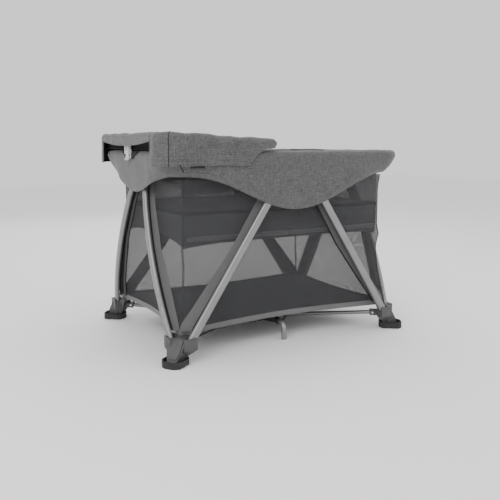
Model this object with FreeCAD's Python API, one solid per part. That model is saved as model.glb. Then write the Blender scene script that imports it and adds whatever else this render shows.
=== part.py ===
"""Travel play yard with bassinet and changer: one STEP per sub-part, in millimetres.

+X runs along the long side, +Y to the far side and +Z up; the yard stands on z = 0.
Most pieces are drawn once in the +X +Y quarter and mirrored to the other corners.
"""
import FreeCAD, Part
import math
import os

V = FreeCAD.Vector

# Overall size
RIM_X = 484.0            # half length over the rim cover
RIM_Y = 354.0            # half width over the rim cover
RIM_TOP = 692.0
RIM_ROUND = 90.0         # corner radius of the rim cover
SKIN = 3.0               # thickness of every sewn skin
ORIGIN_SHIFT = 2.68      # moves the origin to the middle of the overall box

# Feet: pad centre, diagonal direction and floor-arm pivot
FOOT_X, FOOT_Y = 455.0, 326.0
FOOT_R = math.hypot(FOOT_X, FOOT_Y)
FOOT_ANGLE = math.degrees(math.atan2(FOOT_Y, FOOT_X))
PAD_LENGTH, PAD_WIDTH, PAD_HEIGHT, PAD_ROUND = 88.0, 80.0, 22.0, 34.0
SOCKET_BOTTOM, SOCKET_TOP = 12.0, 88.0
ARM_PIVOT_R, ARM_PIVOT_Z = 490.0, 56.0

# Hub under the floor
HUB_PIVOT_R, HUB_PIVOT_Z = 45.0, 30.0
HUB_R, HUB_BOTTOM, HUB_TOP = 66.0, 16.0, 44.0
ARM_R = 7.5
MID_PIVOT_Y, MID_PIVOT_Z = 54.0, 34.0
MID_END_Y, MID_BEND_R, MID_ARM_Z = 264.0, 26.0, 60.0
MID_SOCKET_Y = 208.0     # where the strut's socket starts

# Legs: oval tubes that lean to the middle of each side
LEG_WIDTH, LEG_THICK, LEG_WALL = 28.0, 17.0, 1.5
LEG_Y = 341.0            # plane of the long-side legs
LONG_FOOT = V(409, LEG_Y, 70)
LONG_HEAD = V(35, LEG_Y, 640)
END_FOOT = V(454, 293, 70)
END_HEAD = V(438, 30, 640)
END_BOW = 27.0           # outward bow of the end-side legs

# Rails of the rim
RAIL_R, RAIL_WALL = 8.2, 1.5
RAIL_Z = 673.0
RAIL_PIVOT_LONG, RAIL_PIVOT_END = 48.0, 66.0   # from the middle of a side to its rail pivots
RAIL_Y, RAIL_X = 321.5, 472.4
CORNER_R = 50.0

# Pins
PIN_R, PIN_GAP = 4.0, 0.05

# Fabric
WALL_X, WALL_Y = 424.0, 306.0
FLOOR_Z, FLOOR_THICK = 95.0, 11.0
WALL_TOP = 600.0
BASSINET_X, BASSINET_Y = 405.0, 298.0
BASSINET_BOTTOM, BASSINET_TOP = 378.0, 640.0
MATTRESS_THICK = 36.0
LOBE_LONG, LOBE_END, LOBE_CORNER = 491.0, 546.0, 612.0

# Changer over the left end
CHANGER_LEFT, CHANGER_RIGHT = -490.0, -98.0
CHANGER_Y = 345.0
CHANGER_Z_LEFT, CHANGER_Z_RIGHT = 737.0, 716.0
CHANGER_BEND = 70.0
CHANGER_TUBE_R = 8.0
ROLL_R = 17.0
FLAP_Y = 359.0
FLAP_BOTTOM, FLAP_TOP = 645.0, 748.0
FLAP_TAB_Y = 262.0       # the end flaps reach in to here from the corners
LIP_BOTTOM = 712.0
CLAMP_WIDTH = 35.0
HOOK_X = -300.0          # where the side hooks sit along the long rails

CORNERS = {"nl": (-1, -1), "nr": (1, -1), "fl": (-1, 1), "fr": (1, 1)}
X, Y, Z = V(1, 0, 0), V(0, 1, 0), V(0, 0, 1)


def save(name, shape):
    """Write one node, with the origin moved to the middle of the overall box."""
    placed = shape.copy()
    placed.translate(V(ORIGIN_SHIFT, 0, 0))
    placed.exportStep(f"parts/{name}.step")


def box(x0, x1, y0, y1, z0, z1):
    return Part.makeBox(x1 - x0, y1 - y0, z1 - z0, V(x0, y0, z0))


def rod(start, end, radius):
    return Part.makeCylinder(radius, (end - start).Length, start, end - start)


def pipe(start, end, radius, wall):
    return rod(start, end, radius).cut(rod(start, end, radius - wall))


def prism(points, way):
    """A closed polygon, extruded along way."""
    wire = Part.makePolygon(points + [points[0]])
    return Part.Face(wire).extrude(way)


def rounded_slab(half_x, half_y, radius, z0, z1):
    slab = box(-half_x, half_x, -half_y, half_y, z0, z1)
    upright = [e for e in slab.Edges if abs(e.tangentAt(e.FirstParameter).z) > 0.9]
    return slab.makeFillet(radius, upright)


def ring(half_x, half_y, radius, z0, z1, wall):
    inner = rounded_slab(half_x - wall, half_y - wall, radius - wall, z0 - 1, z1 + 1)
    return rounded_slab(half_x, half_y, radius, z0, z1).cut(inner)


def mirrored(shape, sx, sy):
    """The +X +Y quarter's shape, in another quarter."""
    if sx < 0:
        shape = shape.mirror(V(0, 0, 0), X)
    if sy < 0:
        shape = shape.mirror(V(0, 0, 0), Y)
    return shape


def diagonal(shape):
    """Turn a shape drawn along +X so that it lies along the +X +Y diagonal."""
    turned = shape.copy()
    turned.rotate(V(0, 0, 0), Z, FOOT_ANGLE)
    return turned


def fan(pivot, axis, rest_lean, fold_lean, thick):
    """The space that a leg sweeps in its foot, from its lean at rest to its lean when folded.

    axis is the hinge axis; the leg leans towards the middle of its side.
    """
    middle = X if abs(axis.y) > 0.5 else Y
    half_width = LEG_WIDTH / 2 + 1.2
    leans = [rest_lean + (fold_lean - rest_lean) * k / 4 for k in range(5)]
    space = Part.makeCylinder(math.hypot(half_width, 13.5), thick, pivot - axis * (thick / 2), axis)
    for angle in leans:
        a = math.radians(angle)
        along = Z * math.cos(a) - middle * math.sin(a)
        across = Z * math.sin(a) + middle * math.cos(a)
        base = pivot - axis * (thick / 2)
        points = [base + across * half_width, base + across * half_width + along * 90,
                  base - across * half_width + along * 90, base - across * half_width]
        space = space.fuse(prism(points, axis * thick))
    return space


def lean(foot, head, along):
    return math.degrees(math.atan2(abs((foot - head).dot(along)), head.z - foot.z))


def tapered(top, top_z, low, low_z):
    """Web between two level rectangles, each given as (x0, x1, y0, y1)."""
    def rectangle(sides, z):
        x0, x1, y0, y1 = sides
        return Part.makePolygon([V(x0, y0, z), V(x1, y0, z), V(x1, y1, z), V(x0, y1, z), V(x0, y0, z)])

    return Part.makeLoft([rectangle(low, low_z), rectangle(top, top_z)], True, True)


def foot_socket():
    """Plastic corner foot: a leaning body, two leg sockets, the floor-arm lug and a raised shield."""
    def section(r0, r1, half, z):
        r0, r1 = FOOT_R + r0, FOOT_R + r1
        return Part.makePolygon([V(r0, -half, z), V(r1, -half + 8, z), V(r1, half - 8, z),
                                 V(r0, half, z), V(r0, -half, z)])
    body = Part.makeLoft([section(-26, 27, 24, SOCKET_BOTTOM), section(-58, -9, 48, SOCKET_TOP)],
                         True, True)
    shield_outline = [V(500, -27, SOCKET_TOP - 3), V(500, 27, SOCKET_TOP - 3), V(500, 24, 48),
                      V(500, 15, 28), V(500, -15, 28), V(500, -24, 48)]
    shield = body.copy()
    shield.translate(V(4, 0, 0))
    shield = shield.common(prism(shield_outline, V(120, 0, 0)))
    shield = shield.common(box(FOOT_R - 20, FOOT_R + 60, -40, 40, 20, 90))
    gusset = prism([V(FOOT_R - 32, -5, SOCKET_BOTTOM), V(FOOT_R, -5, SOCKET_BOTTOM),
                    V(FOOT_R - 30, -5, 60), V(FOOT_R - 48, -5, 60)], V(0, 10, 0))
    lug = box(ARM_PIVOT_R - 11, FOOT_R - 45, -14, 14, 46, 66)
    lug = lug.cut(box(ARM_PIVOT_R - 23, ARM_PIVOT_R + 10.5, -8.3, 8.3, 40, 90))
    foot = diagonal(body.fuse([shield, gusset, lug]))
    long_cheeks = box(LONG_FOOT.x - 21, LONG_FOOT.x + 27, LEG_Y - 15, LEG_Y + 14, 50, SOCKET_TOP)
    end_cheeks = box(END_FOOT.x - 15, END_FOOT.x + 18, END_FOOT.y - 22, END_FOOT.y + 25, 50, SOCKET_TOP)
    long_web = tapered((LONG_FOOT.x - 21, LONG_FOOT.x + 27, LEG_Y - 15, LEG_Y + 14), 50,
                       (FOOT_X - 34, FOOT_X - 8, FOOT_Y - 18, FOOT_Y + 6), PAD_HEIGHT + 1)
    end_web = tapered((END_FOOT.x - 15, END_FOOT.x + 18, END_FOOT.y - 22, END_FOOT.y + 25), 50,
                      (FOOT_X - 18, FOOT_X + 4, FOOT_Y - 36, FOOT_Y - 10), PAD_HEIGHT + 1)
    foot = foot.fuse([long_cheeks, end_cheeks, long_web, end_web]).removeSplitter()
    long_lean, end_lean = lean(LONG_FOOT, LONG_HEAD, X), lean(END_FOOT, END_HEAD, Y)
    foot = foot.cut(fan(LONG_FOOT, Y, long_lean, 0, LEG_THICK + 1.6))
    foot = foot.cut(fan(END_FOOT, X, end_lean, 0, LEG_THICK + 12.0))
    for pin in foot_pins():
        foot = foot.cut(pin)
    return foot


def foot_pins():
    """The floor-arm pin across the lug, and one pin through the foot of each leg."""
    arm_pin = diagonal(rod(V(ARM_PIVOT_R, -14, ARM_PIVOT_Z), V(ARM_PIVOT_R, 14, ARM_PIVOT_Z), PIN_R))
    long_pin = rod(LONG_FOOT - Y * 14, LONG_FOOT + Y * 12, PIN_R)
    end_pin = rod(END_FOOT - X * 14, END_FOOT + X * 17, PIN_R)
    return [arm_pin, long_pin, end_pin]


def foot_pad():
    """Rubber pad: a rounded tray, arched between its toe and its heel."""
    half_x, half_y, wall = PAD_LENGTH / 2, PAD_WIDTH / 2, 5
    tray = rounded_slab(half_x, half_y, PAD_ROUND, 0, PAD_HEIGHT)
    well = rounded_slab(half_x - wall, half_y - wall, PAD_ROUND - wall, SOCKET_BOTTOM, PAD_HEIGHT + 1)
    tray = tray.cut(well)
    arch = rod(V(0, -60, -60), V(0, 60, -60), 66)
    pad = tray.cut(arch)
    pad.translate(V(FOOT_R, 0, 0))
    return diagonal(pad)


def floor_arm():
    """Round tube from the hub to a foot, with a flattened eye at each end."""
    hub_end = V(HUB_PIVOT_R, 0, HUB_PIVOT_Z)
    foot_end = V(ARM_PIVOT_R, 0, ARM_PIVOT_Z)
    along = (foot_end - hub_end).normalize()
    tube = pipe(hub_end + along * 4, foot_end - along * 4, ARM_R, 1.2)
    eyes = [rod(p - Y * ARM_R, p + Y * ARM_R, 9.0) for p in (hub_end, foot_end)]
    holes = [rod(p - Y * 20, p + Y * 20, PIN_R + PIN_GAP) for p in (hub_end, foot_end)]
    return diagonal(tube.fuse(eyes).cut(holes))


def oval_section(centre, wide, thin, width, thick):
    """Stadium outline: wide and thin are unit vectors of its long and short way."""
    radius = thick / 2
    flat = width / 2 - radius
    a, b = centre - wide * flat, centre + wide * flat
    lines = [Part.LineSegment(a - thin * radius, b - thin * radius).toShape(),
             Part.Arc(b - thin * radius, b + wide * radius, b + thin * radius).toShape(),
             Part.LineSegment(b + thin * radius, a + thin * radius).toShape(),
             Part.Arc(a + thin * radius, a - wide * radius, a - thin * radius).toShape()]
    return Part.Wire(lines)


def straight_leg(foot, head, axis):
    """Oval tube from 12 mm past its foot pin to 12 mm past its head pin; axis is the hinge axis."""
    along = (head - foot).normalize()
    start, length = foot - along * 12, (head - foot).Length + 24
    wide = along.cross(axis)

    def solid(inset):
        outline = oval_section(start, wide, axis, LEG_WIDTH - 2 * inset, LEG_THICK - 2 * inset)
        return Part.Face(outline).extrude(along * length)

    return solid(0).cut(solid(LEG_WALL)).cut(pin_holes(foot, head, axis))


def bowed_leg(foot, head, axis, bow):
    """The same tube bent to a circular arc, whose middle stands bow outside its chord."""
    along = (head - foot).normalize()
    start, end = foot - along * 12, head + along * 12
    out = (axis - along * axis.dot(along)).normalize()
    half = (end - start).Length / 2
    radius = (half ** 2 + bow ** 2) / (2 * bow)
    centre = (start + end) * 0.5 + out * (bow - radius)
    normal = out.cross(along)
    radial = (start - centre).normalize()
    sweep = math.degrees(2 * math.asin(half / radius))

    def solid(inset):
        outline = oval_section(start, normal, radial, LEG_WIDTH - 2 * inset, LEG_THICK - 2 * inset)
        return Part.Face(outline).revolve(centre, normal, sweep)

    return solid(0).cut(solid(LEG_WALL)).cut(pin_holes(foot, head, axis))


def pin_holes(foot, head, axis):
    return [rod(p - axis * 30, p + axis * 30, PIN_R + PIN_GAP) for p in (foot, head)]


def top_hub(inner, outer, half, head, leg_plane, rail_pivot, rail_plane):
    """Plate hidden in the middle of a side, drawn for the +Y side: two leg pins and two rail pins.

    inner and outer are the plate's faces; head is a leg's head pin as (along the side, height).
    """
    plate = prism([V(-half, inner, 652), V(-half + 20, inner, 624), V(half - 20, inner, 624),
                   V(half, inner, 652), V(half, inner, 686), V(-half, inner, 686)],
                  V(0, outer - inner, 0))
    pins = []
    for s in (-1, 1):
        pins.append(rod(V(s * head[0], inner, head[1]),
                        V(s * head[0], leg_plane + LEG_THICK / 2, head[1]), PIN_R))
        pins.append(rod(V(s * rail_pivot, inner, RAIL_Z),
                        V(s * rail_pivot, rail_plane + RAIL_R, RAIL_Z), PIN_R))
    return plate.fuse(pins)


def rail(plane, start, end):
    """Half of one side's rail, drawn along +X at y = plane from its pivot at x = start to x = end."""
    pivot = V(start, plane, RAIL_Z)
    eye = rod(pivot - Y * RAIL_R, pivot + Y * RAIL_R, RAIL_R + 1)
    tube = pipe(pivot + X * 4, V(end, plane, RAIL_Z), RAIL_R, RAIL_WALL)
    hole = rod(pivot - Y * 20, pivot + Y * 20, PIN_R + PIN_GAP)
    return eye.fuse(tube).cut(hole)


def across(shape):
    """Swap X and Y, which turns a long-side piece into an end-side piece."""
    return shape.mirror(V(0, 0, 0), V(1, -1, 0))


def corner():
    """Rounded elbow at a rim corner."""
    centre = V(RAIL_X - CORNER_R, RAIL_Y - CORNER_R, RAIL_Z)
    radius = RAIL_R - 0.7
    elbow = Part.makeTorus(CORNER_R, radius, centre, Z, 0, 360, 90)
    return elbow.cut(Part.makeTorus(CORNER_R, radius - 2.5, centre, Z, 0, 360, 90))


def hub_body():
    """Round hub with four slots for the floor arms and two for the middle legs."""
    body = Part.makeCylinder(HUB_R, HUB_TOP - HUB_BOTTOM, V(0, 0, HUB_BOTTOM))
    arm_slot = box(HUB_PIVOT_R - 12, HUB_R + 5, -ARM_R - 0.6, ARM_R + 0.6, HUB_BOTTOM - 1, HUB_TOP - 3)
    mid_slot = box(-7.6, 7.6, MID_PIVOT_Y - 13, HUB_R + 5, HUB_BOTTOM - 1, HUB_TOP + 1)
    for sx, sy in CORNERS.values():
        body = body.cut(mirrored(diagonal(arm_slot), sx, sy))
    for sy in (-1, 1):
        body = body.cut(mirrored(mid_slot, 1, sy))
    for pin in hub_pins():
        body = body.cut(pin)
    return body


def hub_pins():
    arm_pin = diagonal(rod(V(HUB_PIVOT_R, -15, HUB_PIVOT_Z), V(HUB_PIVOT_R, 15, HUB_PIVOT_Z), PIN_R))
    mid_pin = rod(V(-15, MID_PIVOT_Y, MID_PIVOT_Z), V(15, MID_PIVOT_Y, MID_PIVOT_Z), PIN_R)
    pins = [mirrored(arm_pin, sx, sy) for sx, sy in CORNERS.values()]
    return pins + [mirrored(mid_pin, 1, sy) for sy in (-1, 1)]


def hub_cap():
    """Domed cap with a well for the pull knob."""
    dome = Part.makeCone(HUB_R - 4, HUB_R - 22, 12, V(0, 0, HUB_TOP))
    return dome.cut(Part.makeCylinder(20, 10, V(0, 0, HUB_TOP + 4)))


def hub_knob():
    stem = Part.makeCylinder(18, 6, V(0, 0, HUB_TOP + 4))
    grip = Part.makeCone(18, 15, 8, V(0, 0, HUB_TOP + 10))
    return stem.fuse(grip).removeSplitter()


def mid_strut():
    """Flat strut from the hub to the middle leg, with a socket round the tube's upper end."""
    pivot = V(0, MID_PIVOT_Y, MID_PIVOT_Z)
    eye = rod(pivot - X * 6.5, pivot + X * 6.5, 8.5)
    bar = prism([V(-6.5, MID_PIVOT_Y, MID_PIVOT_Z - 7), V(-6.5, MID_SOCKET_Y + 4, MID_ARM_Z - 8),
                 V(-6.5, MID_SOCKET_Y + 4, MID_ARM_Z + 8), V(-6.5, MID_PIVOT_Y, MID_PIVOT_Z + 7)],
                V(13, 0, 0))
    mouth = MID_SOCKET_Y + 26
    socket = rod(V(0, MID_SOCKET_Y, MID_ARM_Z), V(0, mouth, MID_ARM_Z), 12.5)
    hole = rod(pivot - X * 20, pivot + X * 20, PIN_R + PIN_GAP)
    seat = rod(V(0, mouth - 16, MID_ARM_Z), V(0, mouth + 1, MID_ARM_Z), 9.5)
    return eye.fuse([bar, socket]).cut(hole).cut(seat)


def mid_leg():
    """Bent tube: level in the strut's socket, then down to the ground, cut flat at its foot."""
    top, mouth = MID_ARM_Z - MID_BEND_R, MID_SOCKET_Y + 10
    bend_y = MID_END_Y - MID_BEND_R

    def solid(radius):
        bend = Part.makeTorus(MID_BEND_R, radius, V(0, bend_y, top), X, 0, 360, 90)
        bend.rotate(V(0, bend_y, top), X, -90)
        return [rod(V(0, MID_END_Y, 0), V(0, MID_END_Y, top), radius), bend,
                rod(V(0, mouth, MID_ARM_Z), V(0, bend_y, MID_ARM_Z), radius)]

    outer, bore = solid(9.5), solid(8.0)
    return outer[0].fuse(outer[1:]).cut(bore)


def hem_long(x):
    """Height of the rim cover's lower edge along a long side."""
    return LOBE_LONG + (LOBE_CORNER - LOBE_LONG) * (1 - math.cos(math.pi * x / 405)) / 2


def hem_end(y):
    """Height of the rim cover's lower edge along an end."""
    return LOBE_END + (LOBE_CORNER - LOBE_END) * (1 - math.cos(math.pi * y / 300)) / 2


def rim_cover():
    """Skirt outside the rails with a scalloped lower edge, and the strip over the rails."""
    skirt = ring(RIM_X, RIM_Y, RIM_ROUND, LOBE_LONG - 10, RIM_TOP, SKIN)
    steps = [k / 6 for k in range(-6, 7)]
    long_edge = [V(405 * s, -400, hem_long(405 * s)) for s in steps]
    long_part = prism(long_edge + [V(440, -400, LOBE_CORNER), V(440, -400, 700),
                                   V(-440, -400, 700), V(-440, -400, LOBE_CORNER)], V(0, 800, 0))
    end_edge = [V(-600, 300 * s, hem_end(300 * s)) for s in steps]
    end_part = prism(end_edge + [V(-600, 300, 700), V(-600, -300, 700)], V(1200, 0, 0))
    upper = box(-600, 600, -400, 400, LOBE_CORNER, 700)
    side_skirts = skirt.common(long_part).fuse([skirt.common(end_part), skirt.common(upper)])
    strip = ring(RIM_X, RIM_Y, RIM_ROUND, RIM_TOP - SKIN, RIM_TOP, 50)
    return side_skirts.fuse(strip).removeSplitter()


def mesh_walls():
    """Four panels of mesh, one to a side."""
    top, bottom = WALL_TOP, FLOOR_Z + FLOOR_THICK + 0.5
    long_wall = box(-WALL_X + 40, WALL_X - 40, WALL_Y - SKIN, WALL_Y, bottom, top)
    end_wall = box(WALL_X - SKIN, WALL_X, -WALL_Y + 40, WALL_Y - 40, bottom, top)
    walls = [mirrored(long_wall, 1, s) for s in (1, -1)] + [mirrored(end_wall, s, 1) for s in (1, -1)]
    return Part.makeCompound(walls)


def bassinet_shell():
    """Base and four upright walls of the hanging bassinet."""
    low, top = BASSINET_BOTTOM + 5, BASSINET_TOP
    base = box(-BASSINET_X, BASSINET_X, -BASSINET_Y, BASSINET_Y, BASSINET_BOTTOM, low)
    long_wall = box(-BASSINET_X, BASSINET_X, BASSINET_Y - SKIN, BASSINET_Y, low, top)
    end_wall = box(BASSINET_X - SKIN, BASSINET_X, SKIN - BASSINET_Y, BASSINET_Y - SKIN, low, top)
    walls = [mirrored(long_wall, 1, s) for s in (1, -1)] + [mirrored(end_wall, s, 1) for s in (1, -1)]
    return Part.makeCompound([base] + walls)


def sloped(shape):
    """Tilt a level changer piece about its inner end, to the slope of the changer."""
    drop = math.degrees(math.atan2(CHANGER_Z_LEFT - CHANGER_Z_RIGHT, CHANGER_RIGHT - CHANGER_LEFT))
    tilted = shape.copy()
    tilted.rotate(V(CHANGER_RIGHT, 0, CHANGER_Z_RIGHT), Y, drop)
    return tilted


def changer_frame():
    """Closed loop of round tube with rounded corners."""
    bend, z = CHANGER_BEND, CHANGER_Z_RIGHT
    half_x, mid_x = (CHANGER_RIGHT - CHANGER_LEFT) / 2, (CHANGER_RIGHT + CHANGER_LEFT) / 2
    def loop(radius):
        sides = [rod(V(-half_x + bend, s * CHANGER_Y, 0), V(half_x - bend, s * CHANGER_Y, 0), radius)
                 for s in (-1, 1)]
        ends = [rod(V(s * half_x, -CHANGER_Y + bend, 0), V(s * half_x, CHANGER_Y - bend, 0), radius)
                for s in (-1, 1)]
        bends = [mirrored(Part.makeTorus(bend, radius, V(half_x - bend, CHANGER_Y - bend, 0), Z,
                                         0, 360, 90), sx, sy) for sx, sy in CORNERS.values()]
        return sides[0].fuse(sides[1:] + ends + bends)
    frame = loop(CHANGER_TUBE_R)
    frame.translate(V(mid_x, 0, z))
    return sloped(frame)


def changer_pad():
    """Padded deck inside the frame loop."""
    x0, x1, half = CHANGER_LEFT + 12, CHANGER_RIGHT - 20, CHANGER_Y - 14
    deck = prism([V(x0, -half, 699), V(x1, -half, 699), V(x1, -half, 729), V(x0, -half, 749)],
                 V(0, 2 * half, 0))
    upright = [e for e in deck.Edges if abs(e.tangentAt(e.FirstParameter).z) > 0.9]
    return deck.makeFillet(56, upright)


def changer_cover():
    """Two side flaps, a short lip with two tabs over the left end, and the roll at the inner end."""
    left, round_r = CHANGER_LEFT - CHANGER_TUBE_R - 5, RIM_ROUND
    side = prism([V(left + round_r, FLAP_Y, FLAP_TOP - 1), V(left + round_r, FLAP_Y, FLAP_BOTTOM),
                  V(-200, FLAP_Y, FLAP_BOTTOM), V(-160, FLAP_Y, 684), V(CHANGER_RIGHT, FLAP_Y, 700),
                  V(CHANGER_RIGHT, FLAP_Y, 728)], V(0, SKIN, 0))
    pillar = Part.makeCylinder(round_r + SKIN, FLAP_TOP - FLAP_BOTTOM - 1,
                               V(left + round_r, FLAP_Y - round_r, FLAP_BOTTOM), Z, 90)
    pillar = pillar.cut(Part.makeCylinder(round_r, 200, V(left + round_r, FLAP_Y - round_r, 600), Z, 360))
    pillar.rotate(V(left + round_r, FLAP_Y - round_r, 0), Z, 90)
    inner = FLAP_Y - round_r
    tab = box(left - SKIN, left, FLAP_TAB_Y, inner, FLAP_BOTTOM, LIP_BOTTOM)
    lip = box(left - SKIN, left, -inner, inner, LIP_BOTTOM, FLAP_TOP)
    half_roll = CHANGER_Y - CHANGER_BEND - 1
    start, stop = V(CHANGER_RIGHT, -half_roll, CHANGER_Z_RIGHT), V(CHANGER_RIGHT, half_roll, CHANGER_Z_RIGHT)
    roll = rod(start, stop, ROLL_R).cut(rod(start, stop, CHANGER_TUBE_R + 0.3))
    halves = [mirrored(piece, 1, s) for piece in (side, pillar, tab) for s in (1, -1)]
    return Part.makeCompound(halves + [lip, roll])


def clamp():
    """Clamp of the left end, drawn on the -X side: a saddle plate outside the rim with two ears."""
    outer = CHANGER_LEFT - CHANGER_TUBE_R
    half = CLAMP_WIDTH / 2
    plate = box(outer + 9, outer + 13, -half, half, 664, 716)
    seat = box(outer + 1, outer + 19, -half, half, 714, 726)
    seat = seat.cut(rod(V(CHANGER_LEFT, -40, CHANGER_Z_LEFT - 1), V(CHANGER_LEFT, 40, CHANGER_Z_LEFT - 1),
                        CHANGER_TUBE_R + 0.3))
    ears = [box(outer - 1, outer + 9, s * (half - 2) - 2, s * (half - 2) + 2, 680, 714) for s in (-1, 1)]
    body = plate.fuse([seat] + ears)
    return body.fuse(rod(V(outer + 4, -half, 688), V(outer + 4, half, 688), 2))


def clamp_lever():
    """Lever between the clamp's ears, with a curled thumb tab at its lower end."""
    outer = CHANGER_LEFT - CHANGER_TUBE_R
    half = CLAMP_WIDTH / 2 - 4.6
    boss = rod(V(outer + 4, -half, 688), V(outer + 4, half, 688), 4.4)
    blade = box(outer + 2, outer + 6, -half, half, 662, 688)
    tab = rod(V(outer + 2, -half, 662), V(outer + 2, half, 662), 4)
    hole = rod(V(outer + 4, -30, 688), V(outer + 4, 30, 688), 2.05)
    return boss.fuse([blade, tab]).cut(hole)


def side_hook():
    """Thin hook outside the far rail, seated under the frame tube."""
    half = CLAMP_WIDTH / 2
    slope = (CHANGER_Z_LEFT - CHANGER_Z_RIGHT) / (CHANGER_RIGHT - CHANGER_LEFT)
    tube_z = CHANGER_Z_LEFT - slope * (HOOK_X - CHANGER_LEFT)
    plate = box(HOOK_X - half, HOOK_X + half, RIM_Y + 0.8, FLAP_Y - 0.8, 656, tube_z)
    seat = box(HOOK_X - half, HOOK_X + half, CHANGER_Y - 8, FLAP_Y - 0.8, tube_z - 14, tube_z - 2)
    tube = rod(V(HOOK_X - 60, CHANGER_Y, tube_z + 60 * slope), V(HOOK_X + 60, CHANGER_Y, tube_z - 60 * slope),
               CHANGER_TUBE_R + 0.3)
    return plate.fuse(seat).cut(tube)


def write_frame():
    for name, (sx, sy) in CORNERS.items():
        save(f"foot_socket_{name}", mirrored(foot_socket(), sx, sy))
        save(f"foot_pad_{name}", mirrored(foot_pad(), sx, sy))
        save(f"foot_pins_{name}", mirrored(Part.makeCompound(foot_pins()), sx, sy))
        save(f"floor_arm_{name}", mirrored(floor_arm(), sx, sy))
        save(f"corner_{name}", mirrored(corner(), sx, sy))
    long_leg = straight_leg(LONG_FOOT, LONG_HEAD, Y)
    end_leg = bowed_leg(END_FOOT, END_HEAD, X, END_BOW)
    long_rail = rail(RAIL_Y, RAIL_PIVOT_LONG, RAIL_X - CORNER_R - 1)
    end_rail = across(rail(RAIL_X, RAIL_PIVOT_END, RAIL_Y - CORNER_R))
    for side, sy in (("near", -1), ("far", 1)):
        for letter, sx in (("l", -1), ("r", 1)):
            save(f"leg_{side}_{letter}", mirrored(long_leg, sx, sy))
            save(f"rail_{side}_{letter}", mirrored(long_rail, sx, sy))
    for side, sx in (("left", -1), ("right", 1)):
        for letter, sy in (("n", -1), ("f", 1)):
            save(f"leg_{side}_{letter}", mirrored(end_leg, sx, sy))
            save(f"rail_{side}_{letter}", mirrored(end_rail, sx, sy))
    long_hub = top_hub(303, 311.5, 58, (LONG_HEAD.x, LONG_HEAD.z), LEG_Y, RAIL_PIVOT_LONG, RAIL_Y)
    end_hub = across(top_hub(418, 428, 78, (END_HEAD.y, END_HEAD.z), END_HEAD.x, RAIL_PIVOT_END, RAIL_X))
    save("top_hub_near", mirrored(long_hub, 1, -1))
    save("top_hub_far", long_hub)
    save("top_hub_left", mirrored(end_hub, -1, 1))
    save("top_hub_right", end_hub)


def write_middle():
    save("hub_body", hub_body())
    save("hub_cap", hub_cap())
    save("hub_pins", Part.makeCompound(hub_pins()))
    save("hub_knob", hub_knob())
    for side, sy in (("near", -1), ("far", 1)):
        save(f"mid_strut_{side}", mirrored(mid_strut(), 1, sy))
        save(f"mid_leg_{side}", mirrored(mid_leg(), 1, sy))


def write_fabric():
    save("floor_fabric", rounded_slab(WALL_X, WALL_Y, 50, FLOOR_Z, FLOOR_Z + FLOOR_THICK))
    save("mesh_walls", mesh_walls())
    save("rim_cover", rim_cover())
    save("bassinet_shell", bassinet_shell())
    base = BASSINET_BOTTOM + 5.5
    save("mattress", rounded_slab(BASSINET_X - 10, BASSINET_Y - 10, 25, base, base + MATTRESS_THICK))


def write_changer():
    save("changer_frame", changer_frame())
    save("changer_pad", changer_pad())
    save("changer_cover", changer_cover())
    save("changer_clamp", clamp())
    save("clamp_lever", clamp_lever())
    save("side_hooks", Part.makeCompound([side_hook(), mirrored(side_hook(), 1, -1)]))


os.makedirs("parts", exist_ok=True)
write_frame()
write_middle()
write_fabric()
write_changer()
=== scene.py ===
"""Travel play yard: fabric, mesh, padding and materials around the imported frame. Metres, +Z up."""
import math

import bmesh
import bpy
import numpy as np
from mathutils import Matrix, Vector, noise


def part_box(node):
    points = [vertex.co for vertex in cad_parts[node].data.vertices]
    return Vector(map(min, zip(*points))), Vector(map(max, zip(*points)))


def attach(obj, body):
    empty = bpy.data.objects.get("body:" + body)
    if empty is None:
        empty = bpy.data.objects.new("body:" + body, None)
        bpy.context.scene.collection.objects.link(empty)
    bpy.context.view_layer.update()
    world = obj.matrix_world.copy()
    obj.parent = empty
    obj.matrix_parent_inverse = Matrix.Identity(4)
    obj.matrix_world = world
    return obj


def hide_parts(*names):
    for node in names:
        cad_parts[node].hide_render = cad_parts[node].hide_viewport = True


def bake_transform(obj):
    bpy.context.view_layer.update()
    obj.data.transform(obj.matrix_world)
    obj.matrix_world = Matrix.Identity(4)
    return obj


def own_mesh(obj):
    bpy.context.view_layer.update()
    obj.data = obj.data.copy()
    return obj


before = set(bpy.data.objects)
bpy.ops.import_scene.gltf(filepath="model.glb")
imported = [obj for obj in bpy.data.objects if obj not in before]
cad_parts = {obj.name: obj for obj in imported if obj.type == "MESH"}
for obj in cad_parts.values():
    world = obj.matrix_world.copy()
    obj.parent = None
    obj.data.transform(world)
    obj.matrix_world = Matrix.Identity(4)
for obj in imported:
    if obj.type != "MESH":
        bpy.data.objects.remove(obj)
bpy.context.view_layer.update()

MM = 0.001
FABRIC_ROUGHNESS = 0.92

# Driving sizes, read from the frame
rim_lo, rim_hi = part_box("rim_cover")
CX = (rim_lo.x + rim_hi.x) / 2           # middle of the yard along X
RIM_X = (rim_hi.x - rim_lo.x) / 2
RIM_Y = rim_hi.y
RIM_TOP = rim_hi.z
RIM_CORNER = 90 * MM
mat_lo, mat_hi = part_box("mattress")
shell_lo, shell_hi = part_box("bassinet_shell")
near_hub_lo, near_hub_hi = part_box("top_hub_near")
left_hub_lo, left_hub_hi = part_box("top_hub_left")
LOBE_LONG, LOBE_END, LOBE_CORNER = 491 * MM, 546 * MM, 610 * MM
LOBE_HALF_LONG, LOBE_HALF_END = 405 * MM, 300 * MM
BULGE_TOP = 672 * MM                     # where the cover starts to turn in over the rail
LINING_ROW = 12                          # the cover's rows from here on are its lining
WALL_TOP = 600 * MM
FLOOR_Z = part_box("floor_fabric")[0].z
SKIN = 2.0 * MM
SIDES = {"near": (0, -1), "far": (0, 1), "left": (-1, 0), "right": (1, 0)}


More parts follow.
